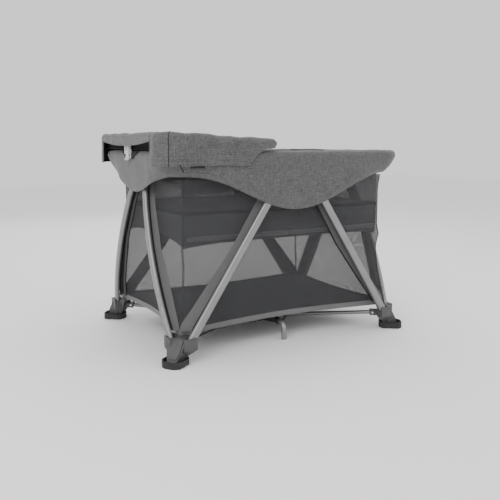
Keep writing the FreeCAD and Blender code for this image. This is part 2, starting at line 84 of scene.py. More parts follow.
# ---------------------------------------------------------------- materials

def material(name, colour, roughness, metallic=0.0):
    """A new material with its node tree, and its Principled shader with the fixed values set."""
    mat = bpy.data.materials.new(name)
    mat.use_nodes = True
    shader = mat.node_tree.nodes["Principled BSDF"]
    shader.inputs["Base Color"].default_value = (*colour, 1)
    shader.inputs["Roughness"].default_value = roughness
    shader.inputs["Metallic"].default_value = metallic
    return mat, mat.node_tree, shader


def node(tree, kind, **values):
    """A node with its named inputs or properties set."""
    made = tree.nodes.new(kind)
    for key, value in values.items():
        if key in made.inputs:
            made.inputs[key].default_value = value
        else:
            setattr(made, key, value)
    return made


def speckle(tree, scale, detail=2.0):
    """Noise in the row frame: scale is in cells per metre."""
    place = tree.nodes.new("ShaderNodeTexCoord")
    cloud = node(tree, "ShaderNodeTexNoise", Scale=scale, Detail=detail)
    tree.links.new(place.outputs["Object"], cloud.inputs["Vector"])
    return cloud.outputs["Fac"]


def streaks(tree, across, along):
    """Noise drawn out into threads: across and along give its cells per metre level and upright."""
    place = tree.nodes.new("ShaderNodeTexCoord")
    stretch = node(tree, "ShaderNodeMapping", Scale=(across, across, along))
    tree.links.new(place.outputs["Object"], stretch.inputs["Vector"])
    cloud = node(tree, "ShaderNodeTexNoise", Scale=1.0, Detail=3.0)
    tree.links.new(stretch.outputs["Vector"], cloud.inputs["Vector"])
    return cloud.outputs["Fac"]


def ramp(tree, value, low, high, colour_low, colour_high):
    made = tree.nodes.new("ShaderNodeValToRGB")
    first, last = made.color_ramp.elements
    first.position, first.color = low, (*colour_low, 1)
    last.position, last.color = high, (*colour_high, 1)
    tree.links.new(value, made.inputs["Fac"])
    return made.outputs["Color"]


def blend_colours(tree, a, b, share):
    mix = node(tree, "ShaderNodeMix", data_type="RGBA", blend_type="MULTIPLY")
    mix.inputs["Factor"].default_value = share
    tree.links.new(a, mix.inputs["A"])
    tree.links.new(b, mix.inputs["B"])
    return mix.outputs["Result"]


def bump(tree, shader, value, strength, distance):
    made = node(tree, "ShaderNodeBump", Strength=strength, Distance=distance)
    tree.links.new(value, made.inputs["Height"])
    tree.links.new(made.outputs["Normal"], shader.inputs["Normal"])
    return made


def weave_height(tree, pitch):
    """Threads crossing at right angles, seen the same from every upright side and from above."""
    place = tree.nodes.new("ShaderNodeTexCoord")
    split = tree.nodes.new("ShaderNodeSeparateXYZ")
    tree.links.new(place.outputs["Object"], split.inputs["Vector"])

    def thread(a, b, turn):
        total = node(tree, "ShaderNodeMath", operation=turn)
        tree.links.new(a, total.inputs[0])
        tree.links.new(b, total.inputs[1])
        scaled = node(tree, "ShaderNodeMath", operation="MULTIPLY")
        tree.links.new(total.outputs[0], scaled.inputs[0])
        scaled.inputs[1].default_value = math.pi / pitch
        wave = node(tree, "ShaderNodeMath", operation="SINE")
        tree.links.new(scaled.outputs[0], wave.inputs[0])
        size = node(tree, "ShaderNodeMath", operation="ABSOLUTE")
        tree.links.new(wave.outputs[0], size.inputs[0])
        return size.outputs[0]

    flat = node(tree, "ShaderNodeMath", operation="ADD")
    tree.links.new(split.outputs["X"], flat.inputs[0])
    tree.links.new(split.outputs["Y"], flat.inputs[1])
    across = thread(flat.outputs[0], split.outputs["Z"], "ADD")
    along = thread(flat.outputs[0], split.outputs["Z"], "SUBTRACT")
    both = node(tree, "ShaderNodeMath", operation="MULTIPLY")
    tree.links.new(across, both.inputs[0])
    tree.links.new(along, both.inputs[1])
    return both.outputs[0]


def fabric(name, dark, light, pitch=1.6 * MM, sheen=0.25, fleck=900, depth=0.35, slub=0.0):
    """Woven cloth: flecked yarn, slow shade variation, weave bump and a soft sheen.

    slub is how dark the thicker threads are drawn, from 0 for a plain cloth to 1.
    """
    mat, tree, shader = material(name, light, FABRIC_ROUGHNESS)
    colour = ramp(tree, speckle(tree, fleck, 3), 0.36, 0.64, dark, light)
    shade = ramp(tree, speckle(tree, 9, 2), 0.3, 0.7, (0.86,) * 3, (1.0,) * 3)
    colour = blend_colours(tree, colour, shade, 1.0)
    if slub:
        for across, along in ((300, 40), (40, 300)):
            threads = ramp(tree, streaks(tree, across, along), 0.38, 0.6, (1 - slub,) * 3, (1.0,) * 3)
            colour = blend_colours(tree, colour, threads, 1.0)
    tree.links.new(colour, shader.inputs["Base Color"])
    bump(tree, shader, weave_height(tree, pitch), depth, 0.4 * MM)
    shader.inputs["Sheen Weight"].default_value = sheen
    shader.inputs["Sheen Roughness"].default_value = 0.5
    return mat


def open_mesh(name, colour, pitch, cover):
    """Fine see-through net: cover is the share of it that is yarn."""
    mat, tree, shader = material(name, colour, 0.75)
    height = weave_height(tree, pitch)
    hole = node(tree, "ShaderNodeMapRange")
    hole.inputs["From Min"].default_value = 0.15
    hole.inputs["From Max"].default_value = 0.75
    hole.inputs["To Min"].default_value = min(1.0, cover + 0.3)
    hole.inputs["To Max"].default_value = max(0.0, cover - 0.3)
    tree.links.new(height, hole.inputs["Value"])
    tree.links.new(hole.outputs["Result"], shader.inputs["Alpha"])
    bump(tree, shader, height, 0.3, 0.3 * MM)
    return mat


def moulded(name, colour, roughness, grain=700, depth=0.12):
    """Moulded plastic or rubber: fine grain, slightly uneven gloss and a paler worn shade."""
    mat, tree, shader = material(name, colour, roughness)
    worn = tuple(min(1, c * 1.25 + 0.01) for c in colour)
    tone = ramp(tree, speckle(tree, 25, 4), 0.35, 0.75, colour, worn)
    tree.links.new(tone, shader.inputs["Base Color"])
    gloss = node(tree, "ShaderNodeMapRange")
    gloss.inputs["To Min"].default_value = max(0.05, roughness - 0.08)
    gloss.inputs["To Max"].default_value = min(1, roughness + 0.1)
    tree.links.new(speckle(tree, 60, 3), gloss.inputs["Value"])
    tree.links.new(gloss.outputs["Result"], shader.inputs["Roughness"])
    bump(tree, shader, speckle(tree, grain, 2), depth, 0.2 * MM)
    return mat


def anodised(name, colour, roughness):
    """Satin metal tube: fine drawn streaks and slight tone changes."""
    mat, tree, shader = material(name, colour, roughness, 0.75)
    tone = ramp(tree, speckle(tree, 18, 3), 0.3, 0.7, tuple(c * 0.92 for c in colour), colour)
    tree.links.new(tone, shader.inputs["Base Color"])
    bump(tree, shader, speckle(tree, 1500, 1), 0.05, 0.1 * MM)
    return mat


COVER = fabric("melange_fabric", (0.052,) * 3, (0.158, 0.158, 0.161), fleck=520, depth=0.5, slub=0.25)
CHANGER = fabric("changer_fabric", (0.052,) * 3, (0.155, 0.155, 0.158), fleck=520, depth=0.5, slub=0.25)
LINING = fabric("lining_fabric", (0.035,) * 3, (0.075, 0.075, 0.078))
FLOOR = fabric("floor_fabric", (0.024,) * 3, (0.052, 0.052, 0.054), sheen=0.1)
BAND = fabric("edge_fabric", (0.10,) * 3, (0.17, 0.17, 0.172))
BASSINET = fabric("bassinet_fabric", (0.075,) * 3, (0.150, 0.150, 0.153), slub=0.3)
MATTRESS = fabric("mattress_fabric", (0.16,) * 3, (0.30, 0.30, 0.305), fleck=700)
BINDING = fabric("binding_tape", (0.075,) * 3, (0.14, 0.14, 0.142), pitch=1.0 * MM, sheen=0.05)
PIPING = fabric("black_piping", (0.010,) * 3, (0.020, 0.020, 0.021), pitch=1.0 * MM, depth=0.2, sheen=0.0)
WEBBING = fabric("black_webbing", (0.006,) * 3, (0.014, 0.014, 0.015), pitch=2.2 * MM, sheen=0.0)
NET = open_mesh("mesh", (0.035, 0.035, 0.038), 2.4 * MM, 0.62)
FINE_NET = open_mesh("bassinet_mesh", (0.06, 0.06, 0.063), 2.0 * MM, 0.42)
THREAD = fabric("stitching", (0.20,) * 3, (0.30, 0.30, 0.30), pitch=0.6 * MM)
SOCKET = moulded("dark_plastic", (0.058, 0.058, 0.060), 0.5)
RUBBER = moulded("pad_rubber", (0.019, 0.019, 0.020), 0.82, grain=500, depth=0.25)
BLACK = moulded("black_plastic", (0.012, 0.012, 0.013), 0.45)
KNOB = moulded("knob_plastic", (0.30, 0.30, 0.31), 0.4)
LIGHT = moulded("light_plastic", (0.58, 0.58, 0.59), 0.38)
TUBE = anodised("leg_tube", (0.27, 0.27, 0.277), 0.42)
STEEL = anodised("pin_steel", (0.60, 0.60, 0.61), 0.28)
PAINT = moulded("changer_tube", (0.05, 0.05, 0.05), 0.35)

NODE_MATERIALS = {"foot_socket": SOCKET, "foot_pad": RUBBER, "foot_pins": STEEL, "floor_arm": TUBE,
                  "hub_body": SOCKET, "hub_cap": SOCKET, "hub_pins": STEEL, "hub_knob": KNOB,
                  "mid_leg": TUBE, "mid_strut": BLACK, "leg_": TUBE, "top_hub": SOCKET, "rail": TUBE,
                  "corner": SOCKET, "changer_frame": PAINT, "changer_clamp": LIGHT,
                  "clamp_lever": LIGHT, "side_hooks": BLACK}


def finish_frame():
    """Give each CAD node that stays in sight its own material."""
    for name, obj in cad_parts.items():
        for start, mat in NODE_MATERIALS.items():
            if name.startswith(start):
                for place in obj.material_slots:
                    place.material = mat


# ---------------------------------------------------------------- mesh helpers

def add_piece(name, verts, faces, mat, smooth=True):
    mesh = bpy.data.meshes.new(name)
    mesh.from_pydata([tuple(v) for v in verts], [], faces)
    mesh.materials.append(mat)
    for face in mesh.polygons:
        face.use_smooth = smooth
    obj = bpy.data.objects.new(name, mesh)
    bpy.context.scene.collection.objects.link(obj)
    return obj


def grid_faces(rows, columns, closed=False):
    """Quads between rows of points; closed joins the last column to the first."""
    across = columns if closed else columns - 1
    faces = []
    for r in range(rows - 1):
        for c in range(across):
            d = (c + 1) % columns
            faces.append((r * columns + c, r * columns + d, (r + 1) * columns + d, (r + 1) * columns + c))
    return faces


def surface(name, rows, mat, closed=False):
    """A grid surface through rows of points, with its normals made consistent."""
    verts = [p for row in rows for p in row]
    return add_piece(name, verts, grid_faces(len(rows), len(rows[0]), closed), mat)


def apply_modifiers(obj):
    bpy.context.view_layer.update()
    graph = bpy.context.evaluated_depsgraph_get()
    mesh = bpy.data.meshes.new_from_object(obj.evaluated_get(graph))
    obj.modifiers.clear()
    obj.data = mesh
    for face in mesh.polygons:
        face.use_smooth = True
    mesh.set_sharp_from_angle(angle=math.radians(55))
    return obj


def thicken(obj, thickness):
    """Give a sheet its thickness, half of it to each side."""
    made = obj.modifiers.new("thick", "SOLIDIFY")
    made.thickness, made.offset, made.use_even_offset = thickness, 0.0, True
    return apply_modifiers(obj)


def smooth(obj):
    """Subdivide once."""
    made = obj.modifiers.new("smooth", "SUBSURF")
    made.levels = made.render_levels = 1
    return apply_modifiers(obj)


def crumple(point, size, depth):
    """A small soft displacement that depends only on where the point is."""
    return depth * noise.fractal(Vector(point) / size, 0.5, 2.0, 2)


def ease(t):
    t = min(1.0, max(0.0, t))
    return t * t * (3 - 2 * t)


def mix(a, b, t):
    return a + (b - a) * t


def between(value, table):
    """Straight-line reading of a short table of (place, value)."""
    return float(np.interp(value, [p for p, _ in table], [v for _, v in table]))


def cloth(piece, thickness=SKIN):
    if thickness:
        thicken(piece, thickness)
    return piece


# ---------------------------------------------------------------- rim cover

def rim_station(side, t):
    """Place and outward way on the rim's outline; t runs from -1 to 1 along the side.

    The long sides end where the elbows start, and the short sides take the corners with them.
    """
    straight_x, straight_y = RIM_X - RIM_CORNER, RIM_Y - RIM_CORNER
    sx, sy = SIDES[side]
    if sy:
        return Vector((t * straight_x, sy * RIM_Y, 0)), Vector((0, sy, 0))
    arc = RIM_CORNER * math.pi / 2
    run = straight_y + arc
    distance = abs(t) * run
    sign = 1 if t >= 0 else -1
    if distance <= straight_y:
        return Vector((sx * RIM_X, sign * distance, 0)), Vector((sx, 0, 0))
    turn = (distance - straight_y) / RIM_CORNER
    out = Vector((sx * math.cos(turn), sign * math.sin(turn), 0))
    centre = Vector((sx * straight_x, sign * straight_y, 0))
    return centre + out * RIM_CORNER, out


# How far the cover's corners are drawn in, by height, both in millimetres
CORNER_INSET = [(572, 60), (596, 57), (609, 43), (631, 22), (657, 5), (672, 0)]


def hem(side, point):
    """Height of the cover's lower edge: a deep lobe on each long side, a shallow one on each end."""
    if SIDES[side][1]:
        lobe = (1 - math.cos(math.pi * min(1, abs(point.x) / LOBE_HALF_LONG))) / 2
        return mix(LOBE_LONG, LOBE_CORNER, lobe)
    lobe = (1 - math.cos(math.pi * min(1, abs(point.y) / LOBE_HALF_END))) / 2
    return mix(LOBE_END, LOBE_CORNER, lobe)


def corner_share(side, point):
    """1 at the middle of a rounded corner, falling to 0 along the sides that meet there."""
    half_arc = RIM_CORNER * math.pi / 4
    to_x, to_y = abs(point.x) - (RIM_X - RIM_CORNER), abs(point.y) - (RIM_Y - RIM_CORNER)
    if SIDES[side][1] or to_x <= 0:
        away = half_arc - to_x
    elif to_y <= 0:
        away = half_arc - to_y
    else:
        away = abs(math.atan2(to_y, to_x) - math.pi / 4) * RIM_CORNER
    return ease(1 - away / (190 * MM))


def rim_section(side, t):
    """The cover's section as (inset, height) pairs, from the outer hem over the rail to the lining."""
    point, _ = rim_station(side, t)
    long_side = bool(SIDES[side][1])
    along = abs(point.x) if long_side else abs(point.y)
    share = corner_share(side, point)
    low = hem(side, point)
    hub_half = (near_hub_hi.x - near_hub_lo.x if long_side else left_hub_hi.y - left_hub_lo.y) / 2
    hub_in = (RIM_Y + near_hub_hi.y if long_side else RIM_X + left_hub_hi.x - CX) + 3.5 * MM
    near_hub = 1 - ease((along - hub_half - 6 * MM) / (30 * MM))
    lining = mix(46 * MM if long_side else 27 * MM, hub_in, near_hub)
    foot = max(lining, mix(48 * MM, 62 * MM, share))
    drawn = 1.5 * MM if long_side else 13 * MM

    def outer(height):
        loose = drawn * min(1, max(0, (BULGE_TOP - height) / (120 * MM)))
        return mix(loose, between(height / MM, CORNER_INSET) * MM, share) + 1 * MM

    section = [(outer(low) + 1.5 * MM, low), (outer(low + 5 * MM), low + 5 * MM)]
    for n in range(6):
        height = mix(low + 14 * MM, BULGE_TOP, n / 5)
        section.append((outer(height), height))
    return section + [(3.5 * MM, 684 * MM), (11 * MM, 690 * MM), (22 * MM, 691.5 * MM),
                      (lining - 5 * MM, 689.5 * MM), (lining + 1 * MM, 683 * MM),
                      (mix(lining, foot, 0.5) + 1 * MM, 655 * MM), (foot + 1 * MM, 628 * MM),
                      (foot + 1 * MM, 612 * MM)]


def rim_half(side, sign):
    """One half of a side's cover, from the middle of the side to its end."""
    count = 44
    columns = []
    for k in range(count + 1):
        t = sign * k / count
        point, out = rim_station(side, t)
        wave = Vector((0, 0, crumple(point, 110 * MM, 2.5 * MM)))
        column = []
        for n, (inset, height) in enumerate(rim_section(side, t)):
            place = point - out * inset + Vector((CX, 0, height))
            if 1 < n < 7:
                place += out * crumple(place, 95 * MM, 2.0 * MM)
            column.append(place + wave * ease((n - 5) / 4))
        columns.append(column)
    return [list(row) for row in zip(*columns)]


SIDE_LETTERS = {"near": "lr", "far": "lr", "left": "nf", "right": "nf"}


def hem_stitches(name, rows, lift):
    """Two rows of short threads along a hem, laid on the outer face."""
    verts, faces = [], []
    for share in (0.25, 0.8):
        path = [mix(a, b, share) for a, b in zip(rows[1], rows[2])]
        spacing, length, width = 5.0 * MM, 3.4 * MM, 0.9 * MM
        travelled, due = 0.0, spacing
        for a, b, up_a in zip(path, path[1:], rows[3]):
            step = (b - a).length
            if step < 1e-6:
                continue
            along = (b - a) / step
            up = (up_a - a).normalized()
            out = along.cross(up).normalized()
            if out.dot(Vector((a.x - CX, a.y, 0))) < 0:
                out = -out
            while due < travelled + step:
                centre = a + along * (due - travelled) + out * lift
                base = len(verts)
                for du, dv, dw in ((-1, 0, 0), (0, -1, 0), (1, 0, 0), (0, 1, 0), (0, 0, 1)):
                    across = up * dv * width / 2 + out * dw * width / 2
                    verts.append(centre + along * du * length / 2 + across)
                faces += [(base, base + 1, base + 4), (base + 1, base + 2, base + 4),
                          (base + 2, base + 3, base + 4), (base + 3, base, base + 4)]
                due += spacing
            travelled += step
    return add_piece(name, verts, faces, THREAD)


def make_rim():
    """Rim cover in eight pieces, one for each half side."""
    for side, letters in SIDE_LETTERS.items():
        for letter, sign in zip(letters, (-1, 1)):
            rows = rim_half(side, sign)
            piece = surface(f"rim_cover_{side}_{letter}", rows, COVER)
            piece.data.materials.append(LINING)
            columns = len(rows[0])
            for face in piece.data.polygons:
                if min(face.vertices) // columns >= LINING_ROW:
                    face.material_index = 1
            stitches = hem_stitches(f"rim_stitching_{side}_{letter}", rows, SKIN / 2 + 0.2 * MM)
            piece = face_outwards(piece)
            cloth(piece)
            for part in (piece, stitches):
                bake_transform(part)
            if side == "near" and letter == "l":
                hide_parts("rim_cover")


def face_outwards(obj):
    """Make the normals agree, pointing away from the middle of the yard on the outer face."""
    mesh = bmesh.new()
    mesh.from_mesh(obj.data)
    bmesh.ops.recalc_face_normals(mesh, faces=mesh.faces)
    mesh.to_mesh(obj.data)
    mesh.free()
    return obj


# ---------------------------------------------------------------- tub: mesh walls and floor

# Plan of the mesh walls by height, in millimetres: how far out the middle of the side is, then where
# the crease behind the leg is, along the side and outwards
LONG_WALL = [(90, 256, 424, 305), (166, 270, 360, 307), (293, 284, 262, 309), (350, 290, 219, 311),
             (507, 303, 122, 316), (600, 308, 61, 318)]
END_WALL = [(90, 400, 281, 428), (166, 411, 249, 440), (293, 428, 190, 449), (350, 433, 164, 452),
            (507, 430, 91, 441), (600, 420, 48, 427)]
CORNER_LINE = [(90, 427), (168, 422), (240, 413), (311, 407), (343, 410), (371, 415), (400, 409),
               (550, 409), (600, 414)]
LEG_INNER_Y = -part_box("leg_near_r")[1].y
CORNER_STEP = 121 * MM                  # the corner line stands this much nearer the middle along Y


def tub_corner(z):
    """Corner of the tub at height z, as half sizes along X and Y."""
    x = between(z / MM, CORNER_LINE) * MM
    return x, x - CORNER_STEP


def crease(side, z):
    """Middle of the side outwards, and the crease along and outwards, at height z."""
    table = LONG_WALL if SIDES[side][1] else END_WALL
    return [between(z / MM, [(row[0], row[n]) for row in table]) * MM for n in (1, 2, 3)]


def wall_point(side, along, z):
    """The point of a mesh wall that is this far along the side from its middle, at height z."""
    sx, sy = SIDES[side]
    middle, bend_along, bend_out = crease(side, z)
    corner_x, corner_y = tub_corner(z)
    end_along, end_out = (corner_x, corner_y) if sy else (corner_y, corner_x)
    reach = min(abs(along), end_along)
    if reach <= bend_along:
        low = 1 - ease((z - 90 * MM) / (160 * MM))
        power = mix(1.1, 1.6 if sy else 2.0, low)
        out = mix(middle, bend_out, (reach / bend_along) ** power)
    else:
        out = mix(bend_out, end_out, (reach - bend_along) / max(1e-6, end_along - bend_along))
    reach = math.copysign(reach, along)
    return Vector((CX + reach, sy * out, z)) if sy else Vector((CX + sx * out, reach, z))


def wall_row(side, z, lift=0.0):
    """A level line of a mesh wall, with its columns kept on the creases and the corners."""
    _, bend, _ = crease(side, z)
    end = tub_corner(z)[0 if SIDES[side][1] else 1]
    half = [bend * k / 14 for k in range(15)] + [mix(bend, end, k / 10) for k in range(1, 11)]
    places = [-a for a in reversed(half[1:])] + half
    return [wall_point(side, a, z) + wall_out(side) * lift for a in places]


def wall_out(side):
    return Vector((SIDES[side][0], SIDES[side][1], 0))


def fold_with_top(piece, side):
    """Carry a piece on a side's top hub."""
    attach(piece, f"top_{side}")
    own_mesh(piece)


def make_walls():
    """Mesh wall on each side, with a band along its foot."""
    low = FLOOR_Z + 2 * MM
    for side, (_, sy) in SIDES.items():
        rows = [wall_row(side, mix(low, WALL_TOP, k / 26)) for k in range(27)]
        wall = surface(f"mesh_wall_{side}", rows, NET)
        edge = surface(f"wall_edge_{side}", [wall_row(side, FLOOR_Z + up * MM, 1.4 * MM)
                                             for up in (-6, 4, 14)], BAND)
        cloth(edge, thickness=1.6 * MM)
        cloth(wall, thickness=0)
        fold_with_top(wall, side)
        fold_with_top(edge, side)
        if side == "near":
            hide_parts("mesh_walls")
    make_corner_seams()


def make_corner_seams():
    """Bound seam down each corner of the tub, on the end walls."""
    levels = [mix(FLOOR_Z, WALL_TOP, k / 24) for k in range(25)]
    for side, sx in (("left", -1), ("right", 1)):
        for letter, sy in (("n", -1), ("f", 1)):
            rows = []
            for z in levels:
                half_x, half_y = tub_corner(z)
                corner = Vector((CX + sx * (half_x + 1 * MM), sy * (half_y + 1 * MM), z))
                rows.append([corner + Vector((-sx * 6 * MM, 0, 0)), corner + Vector((-sx * 1 * MM, 0, 0)),
                             corner + Vector((0, -sy * 1 * MM, 0)), corner + Vector((0, -sy * 6 * MM, 0))])
            seam = surface(f"corner_seam_{letter}{side[0]}", rows, NET)
            cloth(seam, thickness=0)
            fold_with_top(seam, side)


def leg_point(side, z):
    """Middle of a leg's inner face at height z: how far along the side, and how far outwards."""
    rise = (z - 70 * MM) / (570 * MM)
    if SIDES[side][1]:
        return mix(409, 35, rise) * MM, LEG_INNER_Y
    bow = 27 * MM * (1 - (2 * rise - 1) ** 2)
    return mix(293, 30, rise) * MM, mix(454, 438, rise) * MM + bow - 8.5 * MM


def binding_row(side, sign, z, half):
    """Section of a tape: flat on the mesh, then out to the leg's inner face."""
    sx, sy = SIDES[side]
    end = tub_corner(z)[0 if sy else 1]
    centre = min(crease(side, z)[1] + 4 * MM, end - half * 0.6)
    row = [wall_point(side, sign * (centre + k * half), z) + wall_out(side) * 2.2 * MM
           for k in (-1.25, -1.0, -0.6, -0.3, 0, 0.3, 0.6, 1.0)]
    along, out = leg_point(side, z)
    out -= 2.0 * MM
    at_leg = Vector((CX + sign * along, sy * out, z)) if sy else Vector((CX + sx * out, sign * along, z))
    return row + [row[-1].lerp(at_leg, 0.4), row[-1].lerp(at_leg, 0.75), at_leg]


def make_bindings():
    """Tape edged with black piping, sewn on the mesh and drawn out to each leg, which it turns with. The
    black strip on the leg side is painted shadow for the gap between tape and leg.
    """
    levels = [mix(104, 598, k / 32) * MM for k in range(33)]
    for side, (_, sy) in SIDES.items():
        for letter, sign in zip(SIDE_LETTERS[side], (-1, 1)):
            rows = [binding_row(side, sign, z, (26 if sy else 21) * MM) for z in levels]
            tape = surface(f"binding_{side}_{letter}", [row[1:10] for row in rows], BINDING)
            # The second strip runs from the tape's leg-side edge to the leg; it is painted shadow for the gap
            # between tape and leg.
            pipings = [surface(f"piping_in_{side}_{letter}", [row[:2] for row in rows], PIPING),
                       surface(f"piping_out_{side}_{letter}", [row[9:] for row in rows], PIPING)]
            for piping in pipings:
                thicken(piping, 2.6 * MM)
            cloth(tape, thickness=1.4 * MM)
            for piece in (tape, *pipings):
                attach(piece, f"leg_{side}_{letter}")


def make_floor():
    """Floor sheet in four quarters, each carried by its floor arm, with edges drawn in between the feet."""
    count = 22
    half_x = tub_corner(FLOOR_Z)[0]
    for name, sx, sy in (("nl", -1, -1), ("nr", 1, -1), ("fl", -1, 1), ("fr", 1, 1)):
        rows = []
        for r in range(17):
            share = r / 16
            row = []
            for k in range(count + 1):
                u = k / count
                y = share * abs(wall_point("near", u * half_x, FLOOR_Z).y)
                x = u * (wall_point("right", y, FLOOR_Z).x - CX)
                dish = 6 * MM * (share ** 8 + u ** 8)
                sag = crumple((sx * x, sy * y, 0), 150 * MM, 3.5 * MM)
                row.append(Vector((CX + sx * x, sy * y, FLOOR_Z + 4 * MM + dish + sag)))
            rows.append(row)
        floor = surface(f"floor_{name}", rows, FLOOR)
        cloth(floor, thickness=2.4 * MM)
        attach(floor, f"arm_{name}")
        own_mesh(floor)
        if name == "nl":
            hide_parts("floor_fabric")


def make_strut_straps():
    """Short webbing from each strut's end up to the floor sheet's edge."""
    for name, sign in (("near", -1), ("far", 1)):
        rows = []
        for k in range(7):
            z = mix(66, 92, k / 6) * MM
            centre = Vector((CX + mix(2, 15, k / 6) * MM, sign * mix(249, 257, k / 6) * MM, z))
            rows.append([centre + Vector((side * 6 * MM, 0, 0)) for side in (-1, 0, 1)])
        strap = surface(f"strut_strap_{name}", rows, WEBBING)
        cloth(strap, thickness=1.8 * MM)
        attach(strap, f"top_{name}")


# ---------------------------------------------------------------- bassinet

BASS_X = (shell_hi.x - shell_lo.x) / 2
BASS_Y = shell_hi.y
BASS_LOW = shell_lo.z
BASS_SLACK_Y = 16 * MM
BAND_TOP, BASS_TOP = 487 * MM, 618 * MM
BASSINET_PARTS = [("band", BASS_LOW, BAND_TOP, BASSINET, "dark_fabric"),
                  ("net", BAND_TOP, BASS_TOP, FINE_NET, "mesh"),
                  ("zip", BAND_TOP - 6 * MM, BAND_TOP + 6 * MM, PIPING, "dark_fabric")]
PANELS = [(-1.0, -0.55), (-0.55, 0.0), (0.0, 0.55), (0.55, 1.0)]


def bassinet_point(u, v, z):
    """A point on the bassinet's wall; (u, v) is the outline, from -1 to 1 each way."""
    low = 1 - ease((z - BASS_LOW) / (70 * MM))
    droop = 12 * MM * (abs(u) * abs(v)) ** 5
    lift = 12 * MM * (1 - abs(v) ** 3) * abs(u) ** 6 + 6 * MM
    half_y = BASS_Y - BASS_SLACK_Y - 2 * MM * low
    return Vector((CX + u * (BASS_X - 2 * MM * low), v * half_y, z + (lift - droop) * low))


def make_bassinet():
    """Hanging bassinet: a band, a net and a zip line on each side, and a base in four panels."""
    bodies = ("top_left", "top_near", "top_far", "top_right")
    for side, (sx, sy) in SIDES.items():
        for part, low, high, mat, slot in BASSINET_PARTS:
            rows = []
            for r in range(13):
                z = mix(low, high, r / 12)
                row = []
                for k in range(37):
                    u = -1 + k / 18
                    place = bassinet_point(u, sy, z) if sy else bassinet_point(sx, u, z)
                    sag = (1 - u * u) * 4 * MM * math.sin(math.pi * r / 12) if part != "zip" else 1.6 * MM
                    row.append(place + wall_out(side) * (sag + crumple(place, 70 * MM, 1.2 * MM)))
                rows.append(row)
            wall = surface(f"bassinet_{part}_{side}", rows, mat)
            wall = cloth(wall,
                         thickness=0 if part == "net" else SKIN)
            fold_with_top(wall, side)
            if side == "near" and part == "band":
                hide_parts("bassinet_shell")
    for number, (body, (u0, u1)) in enumerate(zip(bodies, PANELS)):
        rows = []
        for r in range(25):
            v = -1 + r / 12
            row = []
            for k in range(11):
                u = mix(u0, u1, k / 10)
                place = bassinet_point(u, v, BASS_LOW + 1 * MM)
                sag = 6 * MM * (1 - u ** 4) * (1 - v ** 4)
                row.append(place - Vector((0, 0, sag - crumple(place, 120 * MM, 2 * MM))))
            rows.append(row)
        base = surface(f"bassinet_base_{number + 1}", rows, BASSINET)
        cloth(base)
        ride_panel(base, body)
        make_mattress_panel(number, body, u0, u1)


def ride_panel(piece, body):
    """Carry a floor panel of the bassinet on a top hub."""
    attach(piece, body)
    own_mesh(piece)


def make_mattress_panel(number, body, u0, u1):
    """One of the mattress's four folding panels: crowned top with quilting lines, pulled-in edges."""
    half_x, half_y = (mat_hi.x - mat_lo.x) / 2, mat_hi.y
    nx, ny = 20, 48
    low, high = mat_lo.z + 1 * MM, mat_hi.z
    gap = 1.5 * MM

    def place(i, j, top):
        s, t = i / nx, j / ny
        x = mix(u0 * half_x + gap, u1 * half_x - gap, s)
        y = mix(-half_y, half_y, t)
        edge = min(s, 1 - s, t * half_y * 2 / 0.4, (1 - t) * half_y * 2 / 0.4)
        crown = ease(edge / 0.16)
        quilt = abs(math.sin(math.pi * (x + y) / (62 * MM)) * math.sin(math.pi * (x - y) / (62 * MM)))
        middle, half = (low + high) / 2, (high - low) / 2
        if top:
            z = middle + (half * (0.45 + 0.47 * crown) + 1.6 * MM * quilt * crown)
        else:
            z = middle + -half * (0.5 + 0.5 * crown)
        return Vector((CX + x, y, z))

    verts = [place(i, j, top) for top in (1, 0) for i in range(nx + 1) for j in range(ny + 1)]
    size = (nx + 1) * (ny + 1)
    top_faces = grid_faces(nx + 1, ny + 1)
    faces = top_faces + [tuple(size + v for v in reversed(f)) for f in top_faces]
    rim = ([i * (ny + 1) for i in range(nx + 1)] + [nx * (ny + 1) + j for j in range(1, ny + 1)]
           + [i * (ny + 1) + ny for i in range(nx - 1, -1, -1)] + [j for j in range(ny - 1, 0, -1)])
    for a, b in zip(rim, rim[1:] + rim[:1]):
        faces.append((a, b, size + b, size + a))
    panel = add_piece(f"mattress_panel_{number + 1}", verts, faces, MATTRESS)
    face_outwards(panel)
    ride_panel(panel, body)
    if number == 0:
        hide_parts("mattress")


# ---------------------------------------------------------------- changer

flap_lo, flap_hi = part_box("changer_cover")
loop_lo, loop_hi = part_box("changer_frame")
pad_lo, pad_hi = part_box("changer_pad")
TUBE_R = 8 * MM
LOOP_LEFT = loop_lo.x + TUBE_R
LOOP_RIGHT = loop_hi.x - TUBE_R
LOOP_Y = loop_hi.y - TUBE_R
LOOP_Z_LEFT, LOOP_Z_RIGHT = loop_hi.z - TUBE_R, loop_lo.z + TUBE_R
FLAP_CORNER = 90 * MM
CHANGER_BEND = 70 * MM
TAB_END = 262 * MM                       # where the corner flaps stop along the changer's end
# Height of the side flaps' lower edge along X, in millimetres from the middle of the yard
FLAP_HEM = [(-500, 644), (-330, 647), (-201, 643), (-163, 683), (-135, 699), (-80, 702)]


def tube_height(x):
    """Height of the changer's frame tube at x."""
    return mix(LOOP_Z_LEFT, LOOP_Z_RIGHT, (x - LOOP_LEFT) / (LOOP_RIGHT - LOOP_LEFT))


